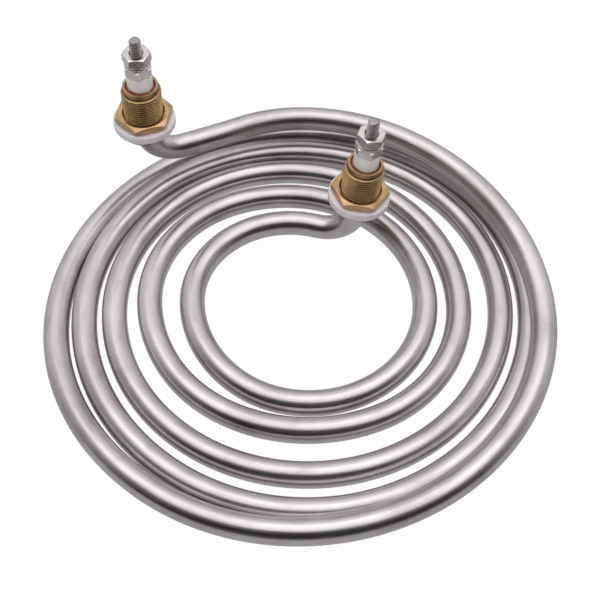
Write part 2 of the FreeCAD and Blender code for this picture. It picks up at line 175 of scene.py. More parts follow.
# %% The whole centreline
def centreline():
    """Points, tangents and side vectors of the tube from the outer to the inner sheath end.

    In a riser and its bend the side vector is square to the bend's plane. Along the coil it is
    (lean x tangent), where lean goes from the terminal's axis to straight up within one sixtieth
    of the coil.
    """
    fade = 60
    a, b = terminal["outer"], terminal["inner"]
    head = [arc(a["foot"] + a["axis"] * SHEATH_TOP, -a["axis"], a["top"]),
            arc(a["top"], -a["axis"], a["low"])]
    coil = two_arcs(a["low"], -a["travel"], stations[0], station_tangents[0])
    for i in range(len(stations) - 1):
        coil += two_arcs(stations[i], station_tangents[i], stations[i + 1], station_tangents[i + 1])
    coil += two_arcs(stations[-1], station_tangents[-1], b["low"], b["travel"])
    tail = [arc(b["low"], b["travel"], b["top"]),
            arc(b["top"], b["axis"], b["foot"] + b["axis"] * SHEATH_TOP)]
    points = [np.concatenate([piece[0][:-1] for piece in run]) for run in (head, coil, tail)]
    tangents = [np.concatenate([piece[1][:-1] for piece in run]) for run in (head, coil, tail)]
    run_length = np.linspace(0, 1, len(points[1]))[:, None]
    near_start = np.clip(1 - run_length * fade, 0, 1)
    near_end = np.clip(1 - (1 - run_length) * fade, 0, 1)
    lean = UP + (a["axis"] - UP) * near_start + (b["axis"] - UP) * near_end
    sides = [np.repeat(unit(np.cross(a["axis"], -a["travel"]))[None], len(points[0]), 0),
             unit(np.cross(lean, tangents[1])),
             np.repeat(unit(np.cross(b["axis"], b["travel"]))[None], len(points[2]), 0)]
    last = tail[-1]
    points = np.concatenate(points + [last[0][-1:]])
    tangents = np.concatenate(tangents + [last[1][-1:]])
    sides = np.concatenate(sides + [sides[-1][-1:]])
    return points, tangents, sides


line, line_tangent, line_side = centreline()
line_length = np.concatenate([[0], np.cumsum(np.linalg.norm(np.diff(line, axis=0), axis=1))])
print("centreline %.0f mm long in %d steps" % (line_length[-1], len(line)))

# %% [markdown]
# The CAD's origin is under the middle of the coil, at the lowest point of the tube. The coil's own
# origin is its centre, so one shift takes everything from the one to the other.

# %% Shift to the CAD's origin
on_coil = line[(line_length > SHEATH_TOP) & (line_length < line_length[-1] - SHEATH_TOP)]
low, high = on_coil.min(0), on_coil.max(0)
ORIGIN = np.array([(low[0] + high[0]) / 2, (low[1] + high[1]) / 2, low[2] - TUBE_RADIUS])
line = line - ORIGIN
for place in terminal.values():
    place["foot"] = place["foot"] - ORIGIN
print("coil centre in mm", np.round(-ORIGIN, 3))
for side, place in terminal.items():
    print(side, "foot in mm", np.round(place["foot"], 2))

# %% [markdown]
# Every piece is a grid of rings. A ring is a closed row of points, and each ring is joined to the
# next one by a band of four-sided faces. A tube is a ring carried along a path, and a turned or
# hexagonal piece is a stack of rings round its axis. The grid is worked out as one numpy array, and
# the piece's volume says which way its faces point.


# %% Rings to mesh
def ring_mesh(name, rings, closed=True, uv=None, sharp=None):
    """Object from an array of rings, shaped (rings, points in a ring, 3), in millimetres.

    Face (i, j) joins points j and j + 1 of rings i and i + 1. Its corners are turned round if the
    volume, the sum of corner . (corner x corner) / 6 over the triangles, comes out negative.
    """
    count, around = rings.shape[:2]
    points = rings.reshape(-1, 3) / 1000
    rows = np.arange(count if closed else count - 1)[:, None]
    columns = np.arange(around)[None, :]
    next_row, next_column = (rows + 1) % count, (columns + 1) % around
    quads = np.stack(np.broadcast_arrays(rows * around + columns, rows * around + next_column,
                                         next_row * around + next_column,
                                         next_row * around + columns), -1)
    quads = quads.reshape(-1, 4)
    a, b, c, d = (points[quads[:, k]] for k in range(4))
    volume = (a * (np.cross(b, c) + np.cross(c, d))).sum() / 6
    if volume < 0:
        quads = quads[:, ::-1]
    mesh = bpy.data.meshes.new(name)
    mesh.from_pydata(points, [], quads)
    if uv is not None:
        along, across = uv
        here, ahead = along[rows], along[rows + 1]
        corner_u = np.stack([here, here, ahead, ahead], -1)
        left, right = across[columns], across[columns + 1]
        corner_v = np.stack([left, right, right, left], -1)
        corners = np.stack(np.broadcast_arrays(corner_u, corner_v), -1).reshape(-1, 4, 2)
        if volume < 0:
            corners = corners[:, ::-1]
        layer = mesh.uv_layers.new(name="UVMap")
        layer.data.foreach_set("uv", np.ascontiguousarray(corners, np.float32).ravel())
    shell = bmesh.new()
    shell.from_mesh(mesh)
    bmesh.ops.remove_doubles(shell, verts=shell.verts, dist=1e-7)
    bmesh.ops.dissolve_degenerate(shell, edges=shell.edges, dist=1e-8)
    open_edges = sum(1 for edge in shell.edges if not edge.is_manifold)
    shell.to_mesh(mesh)
    shell.free()
    mesh.shade_smooth()
    if sharp is not None:
        mesh.set_sharp_from_angle(angle=math.radians(sharp))
    piece = bpy.data.objects.new(name, mesh)
    bpy.context.scene.collection.objects.link(piece)
    print("%s: %d faces, %.2f cm3, %d open edges"
          % (name, len(mesh.polygons), abs(volume) * 1e6, open_edges))
    return piece


# %% [markdown]
# The small pieces are drawn on an upright axis and then set on their leaning terminal. The turn
# that takes +Z to the axis by the shortest way is the same one the CAD uses, so a nut's corners
# come out where the CAD has them.


# %% Sizes of the terminals
# Radii are from a terminal's axis and heights from the top of its flange.
SEAT_GAP, THREAD_CLEARANCE = 0.05, 0.07
FLANGE_RADIUS, FLANGE_THICKNESS, NECK_RADIUS = 9.0, 2.2, 6.39
THREAD_RADIUS, THREAD_DEPTH, THREAD_PITCH, THREAD_TOP = 7.0, 0.61, 1.0, 16.45
BUSHING_TOP, RIM_RADIUS, MOUTH_RADIUS = 18.3, 6.2, 5.25
WASHER_RADIUS, WASHER_THICKNESS = 11.0, 3.25
LOCK_NUT_FLATS, LOCK_NUT_THICKNESS, LOCK_NUT_SINK = 18.4, 2.95, 7.52
SLEEVE_RADIUS, SLEEVE_FOOT, SLEEVE_STEP, SLEEVE_TOP = 4.5, 11.4, 19.3, 24.0
PIN_RADIUS, STUD_NECK, STUD_RADIUS, STUD_TOP = 1.4, 1.8, 2.0, 38.0
STUD_DEPTH, STUD_PITCH = 0.43, 0.7
TERMINAL_NUT_FLATS, TERMINAL_NUT_THICKNESS, TERMINAL_NUT_SINK = 8.7, 3.45, 2.55
THIN_BORE, FLAT_RADIUS, FLAT_THICKNESS = 2.2, 4.6, 0.7
SPRING_RADIUS, SPRING_THICKNESS = 4.2, 0.85


# %% Set a piece on its terminal
def on_terminal(side, local, height=0.0, corner=0.0):
    """Local points moved to a terminal, at a height above its flange and turned by corner degrees.

    With axis (x, y, z), the shortest turn from +Z is I + K + K K / (1 + z), where K is the cross
    product matrix of (-y, x, 0).
    """
    axis, foot = terminal[side]["axis"], terminal[side]["foot"]
    x, y, z = axis
    cross = np.array([[0, 0, x], [0, 0, y], [-x, -y, 0]])
    tilt = np.eye(3) + cross + cross @ cross / (1 + z)
    turn = math.radians(corner)
    spin = np.array([[math.cos(turn), -math.sin(turn), 0],
                     [math.sin(turn), math.cos(turn), 0],
                     [0, 0, 1]])
    raised = local @ spin.T + UP * height
    return raised @ tilt.T + foot


def around_axis(radius, height, columns):
    """Rings round +Z, with a radius and a height for every ring, or one for every point of it."""
    angle = np.linspace(0, 2 * np.pi, columns, endpoint=False)
    radius = np.asarray(radius, float)
    height = np.asarray(height, float)
    radius = radius[:, None] if radius.ndim == 1 else radius
    height = height[:, None] if height.ndim == 1 else height
    radius, height = np.broadcast_arrays(radius + 0 * angle, height + 0 * angle)
    return np.stack([radius * np.cos(angle), radius * np.sin(angle), height], -1)


def turned(outline, columns):
    """Rings of a closed outline of (radius, height) points turned round +Z."""
    outline = np.asarray(outline, float)
    return around_axis(outline[:, 0], outline[:, 1], columns)


def rounded(corners, radius, steps=5):
    """Closed outline with each corner replaced by a short curve.

    The curve runs from a point before the corner to one after it, bent towards the corner:
    (1 - t)^2 before + 2 t (1 - t) corner + t^2 after.
    """
    corners = np.asarray(corners, float)
    back, ahead = np.roll(corners, 1, 0) - corners, np.roll(corners, -1, 0) - corners
    room = np.minimum(np.linalg.norm(back, axis=1), np.linalg.norm(ahead, axis=1)) * 0.45
    cut = np.minimum(radius, room)[:, None]
    before, after = (corners + unit(back) * cut)[:, None], (corners + unit(ahead) * cut)[:, None]
    t = np.linspace(0, 1, steps)[None, :, None]
    curve = (1 - t) ** 2 * before + 2 * t * (1 - t) * corners[:, None] + t ** 2 * after
    return curve.reshape(-1, 2)


# %% [markdown]
# Metal looks like metal through what it reflects and through the small unevenness of its finish.
# A material here is a Principled shader whose colour, roughness and bump come from noise at the
# scale of the real marks. The noise reads Object coordinates, so it stays on the piece, and on the
# tube it reads the tube's own map, so drawing marks run along it.


# %% Material helpers
def finish(name, metallic, roughness, **sockets):
    """New material with its Principled shader; plain values go on the shader's own sockets."""
    material = bpy.data.materials.new(name)
    material.use_nodes = True
    shader = material.node_tree.nodes["Principled BSDF"]
    shader.inputs["Metallic"].default_value = metallic
    shader.inputs["Roughness"].default_value = roughness
    for socket, value in sockets.items():
        shader.inputs[socket.replace("_", " ")].default_value = value
    return material, material.node_tree, shader


def noise(tree, scale, detail=3.0, stretch=(1, 1, 1), source="Object", roughness=0.55):
    """Noise on the piece's coordinates; a small stretch draws the marks out along that axis."""
    coordinates = tree.nodes.new("ShaderNodeTexCoord")
    mapping = tree.nodes.new("ShaderNodeMapping")
    mapping.inputs["Scale"].default_value = stretch
    texture = tree.nodes.new("ShaderNodeTexNoise")
    texture.inputs["Scale"].default_value = scale
    texture.inputs["Detail"].default_value = detail
    texture.inputs["Roughness"].default_value = roughness
    tree.links.new(coordinates.outputs[source], mapping.inputs["Vector"])
    tree.links.new(mapping.outputs["Vector"], texture.inputs["Vector"])
    return texture.outputs["Fac"]


def ramp(tree, value, stops):
    """Colour ramp over a value, from (position, colour) stops."""
    node = tree.nodes.new("ShaderNodeValToRGB")
    while len(node.color_ramp.elements) < len(stops):
        node.color_ramp.elements.new(0.5)
    for element, (position, colour) in zip(node.color_ramp.elements, stops):
        element.position = position
        element.color = (*colour, 1)
    tree.links.new(value, node.inputs["Fac"])
    return node.outputs["Color"]


def spread(tree, value, low_value, high_value, start=0.3, end=0.7):
    """A value from start to end turned into one from low_value to high_value."""
    node = tree.nodes.new("ShaderNodeMapRange")
    numbers = {"From Min": start, "From Max": end, "To Min": low_value, "To Max": high_value}
    for socket, number in numbers.items():
        node.inputs[socket].default_value = number
    tree.links.new(value, node.inputs["Value"])
    return node.outputs["Result"]


def mix(tree, a, b, share, mode="MULTIPLY"):
    """Colour b laid over colour a."""
    node = tree.nodes.new("ShaderNodeMix")
    node.data_type = "RGBA"
    node.blend_type = mode
    node.inputs["Factor"].default_value = share
    tree.links.new(a, node.inputs["A"])
    tree.links.new(b, node.inputs["B"])
    return node.outputs["Result"]


def bump(tree, shader, value, depth_mm, strength=1.0, under=None):
    """Bump of a real depth in millimetres on a shader's normal, over an earlier bump if given."""
    node = tree.nodes.new("ShaderNodeBump")
    node.inputs["Strength"].default_value = strength
    node.inputs["Distance"].default_value = depth_mm / 1000
    tree.links.new(value, node.inputs["Height"])
    if under is not None:
        tree.links.new(under, node.inputs["Normal"])
    tree.links.new(node.outputs["Normal"], shader.inputs["Normal"])
    return node.outputs["Normal"]


# %% [markdown]
# The sheath is drawn stainless tube with a satin skin. It is a light, slightly warm grey with soft
# cloudy marks from handling, and very fine lines along its length from the drawing die.

# %% Sheath finish
def make_sheath_finish():
    """Satin steel: clouds for colour, long streaks for roughness and bump."""
    material, tree, shader = finish("satin_stainless", 1.0, 0.31)
    clouds = noise(tree, 42, 5, source="Object")
    greys = [(0.30, (0.51, 0.455, 0.465)), (0.52, (0.60, 0.56, 0.573)), (0.72, (0.65, 0.62, 0.635))]
    colour = ramp(tree, clouds, greys)
    rubs = noise(tree, 1.0, 4, stretch=(70, 260, 1), source="UV")
    rub_colour = ramp(tree, rubs, [(0.30, (0.74, 0.70, 0.69)), (0.50, (1, 1, 1))])
    tree.links.new(mix(tree, colour, rub_colour, 0.7), shader.inputs["Base Color"])
    streaks = noise(tree, 1.0, 3, stretch=(30, 2600, 1), source="UV")
    tree.links.new(spread(tree, streaks, 0.24, 0.37), shader.inputs["Roughness"])
    lines = bump(tree, shader, streaks, 0.012, 0.35)
    bump(tree, shader, clouds, 0.05, 0.25, lines)
    return material


sheath_finish = make_sheath_finish()
print("finish", sheath_finish.name)

# %% [markdown]
# The sheath tube itself: a circle carried along the centreline, outwards on the skin and back along
# the bore, so that the mesh is one closed wall. The bore is never seen, so its rings are far apart.


# %% Sheath tube
def make_sheath():
    """Circle square to the centreline: point = centre + radius (side cos a + over sin a)."""
    around = 36
    angle = np.linspace(0, 2 * np.pi, around, endpoint=False)[:, None]
    over = np.cross(line_tangent, line_side)
    rim = line_side[:, None] * np.cos(angle) + over[:, None] * np.sin(angle)
    skin = line[:, None] + rim * TUBE_RADIUS
    sparse = np.unique(np.append(np.arange(0, len(line), 8), len(line) - 1))[::-1]
    bore = line[sparse, None] + rim[sparse] * TUBE_BORE
    rings = np.concatenate([skin, bore])
    along = np.concatenate([line_length, line_length[sparse], line_length[:1]]) / 1000
    across = np.linspace(0, 2 * np.pi * TUBE_RADIUS, around + 1) / 1000
    return ring_mesh("sheath", rings, uv=(along, across))


sheath = make_sheath()
sheath.data.materials.append(sheath_finish)
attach(sheath, "heater")
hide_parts("sheath_tube")

# %% [markdown]
# Inside the sheath are white magnesia powder and the resistance wire. Nobody sees them in one
# piece, so the CAD's own solids stay and only get a finish.


# %% Powder and wire
def make_powder_finish():
    """Chalky white with fine grain."""
    material, tree, shader = finish("magnesia_powder", 0.0, 0.9)
    grain = noise(tree, 2500, 4)
    whites = [(0.3, (0.74, 0.73, 0.70)), (0.7, (0.86, 0.85, 0.82))]
    tree.links.new(ramp(tree, grain, whites), shader.inputs["Base Color"])
    bump(tree, shader, grain, 0.05, 0.5)
    return material


def make_wire_finish():
    """Dark drawn alloy wire."""
    material, tree, shader = finish("resistance_alloy", 1.0, 0.4)
    grain = noise(tree, 1800, 3)
    browns = [(0.3, (0.34, 0.32, 0.30)), (0.7, (0.46, 0.44, 0.42))]
    tree.links.new(ramp(tree, grain, browns), shader.inputs["Base Color"])
    tree.links.new(spread(tree, grain, 0.32, 0.5), shader.inputs["Roughness"])
    return material


for node, material in (("magnesia_fill", make_powder_finish()),
                       ("resistance_coil", make_wire_finish())):
    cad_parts[node].data.materials.clear()
    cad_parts[node].data.materials.append(material)
    print(node, "gets", material.name)

# %% [markdown]
# The threads are real helices. The surface of a screw is a stack of rings whose radius depends on
# height and on the angle together: going once round lifts the same groove by one pitch. Rings one
# pitch apart would look much the same from the front, but they show as hoops where light runs
# round them, and a nut could not climb them.


# %% Thread surface
def thread(radius, depth, pitch, start, end, columns, per_pitch, ceiling=None):
    """Radius and height of a right-handed thread between two heights.

    Phase = height / pitch - angle / full turn. Of each pitch the crest takes 0.16, the root 0.22
    and each flank the same share of the rest. Ceiling caps the radius as a lead-in does.
    """
    crest_share, root_share, rounding = 0.16, 0.22, 0.35
    rows = int(round((end - start) / pitch * per_pitch)) + 1
    height = np.linspace(start, end, rows)[:, None]
    angle = np.linspace(0, 1, columns, endpoint=False)[None, :]
    phase = np.mod(height / pitch - angle, 1.0)
    from_root = np.abs(phase - 0.5) * 2
    shape = np.clip((from_root - root_share) / (1 - crest_share - root_share), 0, 1)
    shape = shape * shape * (3 - 2 * shape) * rounding + shape * (1 - rounding)
    surface = radius - depth * (1 - shape)
    if ceiling is not None:
        surface = np.minimum(surface, ceiling(height))
    return surface, height + 0 * angle


# %% [markdown]
# The brass is machined and slightly dulled: olive in the shade, straw where it catches light. Its
# cutter marks run round the pieces, but they are so fine that a little noise does for them.


# %% Brass finishes
def make_brass(name, dark, pale, roughness):
    """Machined brass with faint tarnish."""
    material, tree, shader = finish(name, 1.0, roughness)
    tarnish = noise(tree, 260, 5)
    tree.links.new(ramp(tree, tarnish, [(0.28, dark), (0.70, pale)]), shader.inputs["Base Color"])
    fine = noise(tree, 1600, 3)
    uneven = spread(tree, fine, roughness - 0.07, roughness + 0.09)
    tree.links.new(uneven, shader.inputs["Roughness"])
    bump(tree, shader, fine, 0.02, 0.3)
    return material


bushing_brass = make_brass("bushing_brass", (0.36, 0.23, 0.11), (0.52, 0.35, 0.18), 0.36)
nut_brass = make_brass("nut_brass", (0.49, 0.31, 0.155), (0.65, 0.43, 0.245), 0.30)
print("finishes", bushing_brass.name, nut_brass.name)

# %% [markdown]
# A bushing is one turned piece: a flange below, a fine thread, and a plain rim round the mouth in
# which the ceramic stands. Its outline is closed, so the rings wrap round from the last to the
# first. Only the thread's rings are not round.

# %% Threaded bushing
def bushing_lead_in(height):
    """Largest radius of the bushing's thread near its top: a cone down to the rim."""
    return RIM_RADIUS + 0.05 + (THREAD_TOP + 0.1 - height) * 1.1


def make_bushing(side):
    """Rings of the flange, the thread, the rim and the bore, from bottom to top and back inside.

    The last rounded corner of the flange's outline is left off, where the thread begins.
    """
    columns, corner_steps = 96, 5
    bore = TUBE_RADIUS + SEAT_GAP
    below = rounded([(bore, -FLANGE_THICKNESS), (FLANGE_RADIUS, -FLANGE_THICKNESS),
                     (FLANGE_RADIUS, 0.0), (NECK_RADIUS, 0.0)], 0.3, corner_steps)
    screw_radius, screw_height = thread(THREAD_RADIUS, THREAD_DEPTH, THREAD_PITCH, 0.1, THREAD_TOP,
                                        columns, 14, bushing_lead_in)
    rim = rounded([(RIM_RADIUS, THREAD_TOP + 0.05), (RIM_RADIUS, BUSHING_TOP),
                   (MOUTH_RADIUS, BUSHING_TOP), (MOUTH_RADIUS, SHEATH_TOP),
                   (bore, SHEATH_TOP)], 0.22)
    rings = np.concatenate([turned(below, columns)[:1 - corner_steps],
                            around_axis(screw_radius, screw_height, columns),
                            turned(rim, columns)])
    piece = ring_mesh(side + "_bushing", on_terminal(side, rings), sharp=50)
    piece.data.materials.append(bushing_brass)
    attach(piece, "heater")
    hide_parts(side + "_threaded_bushing")


for side in ENDS:
    make_bushing(side)

# %% [markdown]
# The sealing washer is thick soft polymer, milky with a faint pink tinge, and light goes a little
# way into it. Its edges are well rounded from moulding.


# %% Washer finish
def make_washer_finish():
    """Milky polymer: pale, slightly translucent, with a soft sheen."""
    material, tree, shader = finish("milky_polymer", 0.0, 0.42,
                                    Subsurface_Weight=0.25, Subsurface_Scale=0.002)
    clouds = noise(tree, 160, 3)
    milks = [(0.3, (0.80, 0.72, 0.755)), (0.7, (0.88, 0.82, 0.85))]
    tree.links.new(ramp(tree, clouds, milks), shader.inputs["Base Color"])
    bump(tree, shader, noise(tree, 900, 2), 0.02, 0.3)
    return material


washer_finish = make_washer_finish()


def make_sealing_washer(side):
    """Round ring with soft edges."""
    bore = THREAD_RADIUS + THREAD_CLEARANCE
    outline = rounded([(bore, 0.0), (WASHER_RADIUS, 0.0), (WASHER_RADIUS, WASHER_THICKNESS),
                       (bore, WASHER_THICKNESS)], 0.8, 7)
    piece = ring_mesh(side + "_washer", on_terminal(side, turned(outline, 96), SEAT_GAP))
    piece.data.materials.append(washer_finish)
    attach(piece, side + "_gasket")
    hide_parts(side + "_sealing_washer")


for side in ENDS:
    make_sealing_washer(side)

# %% [markdown]
# A nut is a hexagon with its corners turned off by a cone at both faces. That can be cut with
# booleans, but it is also a simple function: at each angle the side's radius is known, and the
# cone takes off more height the further out the side is. The curved chamfer edges come by
# themselves, and a small bevel gives every edge the bright line a real one has.


# %% Hexagon nuts
def nut_rings(flats, thickness, bore, sink_radius, columns=144):
    """Rings of a nut with a corner on +X.

    Side radius = half the flats / cos(angle from the middle of the flat). The cone starts at 0.48
    of the flats and drops by tan 30 degrees.
    """
    angle = np.linspace(0, 2 * np.pi, columns, endpoint=False)
    from_middle = np.mod(angle, np.pi / 3) - np.pi / 6
    side = flats / 2 / np.cos(from_middle)
    face = 0.48 * flats + 0 * angle
    drop = (side - face) * math.tan(math.radians(30))
    share = np.linspace(0, 1, 4)[:, None]
    chamfer_radius, chamfer_drop = face + (side - face) * share, drop * share
    sink = sink_radius - bore
    flat = np.ones_like(angle)
    radius = np.concatenate([[bore * flat, bore * flat, sink_radius * flat], chamfer_radius,
                             chamfer_radius[::-1], [sink_radius * flat]])
    height = np.concatenate([[sink * flat, (thickness - sink) * flat, thickness * flat],
                             thickness - chamfer_drop, chamfer_drop[::-1], [0 * flat]])
    return around_axis(radius, height, columns)


def add_edge(piece, width_mm, limit=24):
    """Bevel on the edges sharper than limit degrees."""
    bevel = piece.modifiers.new("edge", "BEVEL")
    bevel.width = width_mm / 1000
    bevel.segments = 2
    bevel.limit_method = "ANGLE"
    bevel.angle_limit = math.radians(limit)
    bevel.harden_normals = True


# %% Lock nuts
LOCK_NUT_SEAT = WASHER_THICKNESS + 2 * SEAT_GAP


def make_lock_nut(side):
    """Thin brass nut on the bushing's thread."""
    bore = THREAD_RADIUS + THREAD_CLEARANCE
    rings = nut_rings(LOCK_NUT_FLATS, LOCK_NUT_THICKNESS, bore, LOCK_NUT_SINK)
    rings = on_terminal(side, rings, LOCK_NUT_SEAT, ENDS[side]["lock_nut"])
    piece = ring_mesh(side + "_locknut", rings)
    add_edge(piece, 0.14)
    piece.data.materials.append(nut_brass)
    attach(piece, side + "_lock_nut")
    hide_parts(side + "_lock_nut")


for side in ENDS:
    make_lock_nut(side)

# %% [markdown]
# The ceramic is a white sleeve with a clear glaze, so it gets a second glossy layer over a soft
# white body. The seal round its foot is a red-brown compound that was poured in and set unevenly.


# %% Ceramic and seal finishes
def make_ceramic_finish():
    """Glazed white ceramic with faint waves in the glaze."""
    material, tree, shader = finish("glazed_ceramic", 0.0, 0.28,
                                    Coat_Weight=0.7, Coat_Roughness=0.06)
    clouds = noise(tree, 220, 3)
    whites = [(0.3, (0.85, 0.81, 0.78)), (0.7, (0.91, 0.88, 0.85))]
    tree.links.new(ramp(tree, clouds, whites), shader.inputs["Base Color"])
    bump(tree, shader, noise(tree, 350, 2), 0.04, 0.3)
    return material


def make_seal_finish():
    """Dull red-brown compound with pits."""
    material, tree, shader = finish("seal_compound", 0.0, 0.55)
    grain = noise(tree, 700, 5)
    reds = [(0.3, (0.20, 0.035, 0.025)), (0.7, (0.42, 0.10, 0.075))]
    tree.links.new(ramp(tree, grain, reds), shader.inputs["Base Color"])
    bump(tree, shader, grain, 0.15, 0.6)
    return material


ceramic_finish, seal_finish = make_ceramic_finish(), make_seal_finish()


# %% Ceramic sleeves and seals
def make_sleeve(side):
    """Sleeve with a stepped bore: wide round the stud, narrow round the cold pin."""
    narrow, wide, step = PIN_RADIUS + SEAT_GAP, STUD_NECK + SEAT_GAP, SLEEVE_STEP - SEAT_GAP
    outline = rounded([(narrow, SLEEVE_FOOT), (SLEEVE_RADIUS, SLEEVE_FOOT),
                       (SLEEVE_RADIUS, SLEEVE_TOP), (wide, SLEEVE_TOP), (wide, step),
                       (narrow, step)], 0.45)
    piece = ring_mesh(side + "_sleeve", on_terminal(side, turned(outline, 72)), sharp=60)
    piece.data.materials.append(ceramic_finish)
    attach(piece, "heater")
    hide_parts(side + "_ceramic_insulator")


def make_seal(side, phase):
    """Cup of compound whose top rises and falls: height + sum of three sines of the angle."""
    columns = 96
    bore, wall, inside = PIN_RADIUS + SEAT_GAP, MOUTH_RADIUS - SEAT_GAP, SLEEVE_RADIUS + SEAT_GAP
    outline = np.array([(bore, SHEATH_TOP), (wall, SHEATH_TOP), (wall, 17.2), (5.18, 17.6),
                        (5.05, 17.8), (4.85, 17.95), (4.65, 18.15), (inside, 18.25),
                        (inside, SLEEVE_FOOT), (bore, SLEEVE_FOOT)])
    angle = np.linspace(0, 2 * np.pi, columns, endpoint=False)
    swell = (0.28 * np.sin(angle + phase) + 0.14 * np.sin(3 * angle + 2 * phase)
             + 0.07 * np.sin(7 * angle + phase))
    raised = np.clip((outline[:, 1] - 17.0) / 1.0, 0, 1)[:, None]
    height = outline[:, 1][:, None] + raised * swell
    radius = outline[:, 0][:, None] + 0 * angle
    rings = on_terminal(side, around_axis(radius, height, columns))
    piece = ring_mesh(side + "_seal", rings, sharp=60)
    piece.data.materials.append(seal_finish)
    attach(piece, "heater")
    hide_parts(side + "_end_seal")


for side in ENDS:
    make_sleeve(side)
for side, phase in zip(ENDS, (3.9, 4.6)):
    make_seal(side, phase)

# %% [markdown]
# Nuts and washers on the studs are bright plated steel, and the studs are plainer and darker.


# %% Plated and plain steel
def make_steel(name, dark, pale, roughness):
    """Steel with small stains and a slightly uneven polish."""
    material, tree, shader = finish(name, 1.0, roughness)
    stains = noise(tree, 420, 5)
    tree.links.new(ramp(tree, stains, [(0.28, dark), (0.62, pale)]), shader.inputs["Base Color"])
    fine = noise(tree, 2200, 3)
    uneven = spread(tree, fine, roughness - 0.06, roughness + 0.08)
    tree.links.new(uneven, shader.inputs["Roughness"])
    bump(tree, shader, fine, 0.015, 0.25)
    return material


plating = make_steel("bright_plating", (0.60, 0.55, 0.54), (0.79, 0.74, 0.73), 0.22)
stud_steel = make_steel("stud_steel", (0.32, 0.295, 0.295), (0.46, 0.43, 0.43), 0.30)

# %% Studs
STUD_END = 1.55


def stud_tip(height):
    """Largest radius of the stud's thread near its end: a cone of 45 degrees."""
    return STUD_END + STUD_TOP - height


def make_stud(side):
    """Cold pin below, threaded stud above with a chamfered tip; both ends close to a point."""
    columns = 60
    straight = ENDS[side]["straight"]
    below = [(0, -straight), (PIN_RADIUS, -straight), (PIN_RADIUS, SLEEVE_STEP),
             (STUD_NECK, SLEEVE_STEP), (STUD_NECK, SLEEVE_TOP - 0.4)]
    screw_radius, screw_height = thread(STUD_RADIUS, STUD_DEPTH, STUD_PITCH, SLEEVE_TOP - 0.2,
                                        STUD_TOP - 0.02, columns, 12, stud_tip)
    above = [(1.50, STUD_TOP), (0.75, STUD_TOP), (0, STUD_TOP)]
    rings = np.concatenate([turned(below, columns),
                            around_axis(screw_radius, screw_height, columns),
                            turned(above, columns)])
    piece = ring_mesh(side + "_stud", on_terminal(side, rings), closed=False, sharp=50)
    piece.data.materials.append(stud_steel)
    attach(piece, "heater")
    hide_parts(side + "_terminal_pin")


for side in ENDS:
    make_stud(side)


# %% Terminal nuts
def make_terminal_nut(side, name, seat, corner, body):
    """Plated nut on the stud."""
    bore = STUD_RADIUS + THREAD_CLEARANCE
    rings = nut_rings(TERMINAL_NUT_FLATS, TERMINAL_NUT_THICKNESS, bore, TERMINAL_NUT_SINK, 120)
    piece = ring_mesh("%s_%s" % (side, name), on_terminal(side, rings, seat, corner))
    add_edge(piece, 0.09)
    piece.data.materials.append(plating)
    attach(piece, body)
    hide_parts("%s_%s_terminal_nut" % (side, name.split("_")[0]))


FLAT_SEAT = SLEEVE_TOP + TERMINAL_NUT_THICKNESS + SEAT_GAP
SPRING_SEAT = FLAT_SEAT + FLAT_THICKNESS
UPPER_SEAT = SPRING_SEAT + SPRING_THICKNESS + SEAT_GAP
for side, end in ENDS.items():
    make_terminal_nut(side, "lower_nut", SLEEVE_TOP, end["lower_nut"], "heater")
    make_terminal_nut(side, "upper_nut", UPPER_SEAT, end["upper_nut"], side + "_terminal_nut")

# %% [markdown]
# Between the two nuts lie a flat washer and a split spring washer. The spring washer is a bar bent
# round almost a full circle, so it is a small rounded rectangle carried along an arc, with its two
# cut ends closed.


# %% Thin washers
def make_flat_washer(side):
    """Stamped ring with slightly rounded edges."""
    outline = rounded([(THIN_BORE, 0.0), (FLAT_RADIUS, 0.0), (FLAT_RADIUS, FLAT_THICKNESS),
                       (THIN_BORE, FLAT_THICKNESS)], 0.16, 4)
    piece = ring_mesh(side + "_plain_washer", on_terminal(side, turned(outline, 72), FLAT_SEAT))
    piece.data.materials.append(plating)
    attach(piece, side + "_washer_pair")
    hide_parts(side + "_flat_washer")


def make_spring_washer(side):
    """Section carried along an arc that leaves a gap: each ring is the section at one angle."""
    half_gap, gap_from_corner = 6.5, 150
    section = rounded([(THIN_BORE, 0.0), (SPRING_RADIUS, 0.0), (SPRING_RADIUS, SPRING_THICKNESS),
                       (THIN_BORE, SPRING_THICKNESS)], 0.14, 4)
    angle = np.radians(np.linspace(half_gap, 360 - half_gap, 90))[:, None]
    radius, height = section[:, 0], section[:, 1] + 0 * angle
    rings = np.stack([radius * np.cos(angle), radius * np.sin(angle), height], -1)
    caps = [np.repeat(rings[k].mean(0)[None, None], len(section), 1) for k in (0, -1)]
    rings = np.concatenate([caps[0], rings, caps[1]])
    rings = on_terminal(side, rings, SPRING_SEAT, ENDS[side]["upper_nut"] + gap_from_corner)
    piece = ring_mesh(side + "_split_washer", rings, closed=False, sharp=50)
    piece.data.materials.append(plating)
    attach(piece, side + "_washer_pair")
    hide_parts(side + "_spring_washer")


for side in ENDS:
    make_flat_washer(side)
    make_spring_washer(side)

# %% [markdown]
# A light tent: a wide soft light overhead and dimmer walls. Satin metal has no look of its own, so
# its shading is mostly this. The tubes in front show the overhead light as a pale band, then a dark
# band from the unlit front of the tent, then the floor. The tubes at the sides show the pale side
# walls. The world gives the tent's brightness by direction, as a sum of three soft steps.


# %% Room
FRONT_WALL, BACK_WALL, SIDE_WALL, ROOF = 0.02, 0.70, 0.30, 0.62


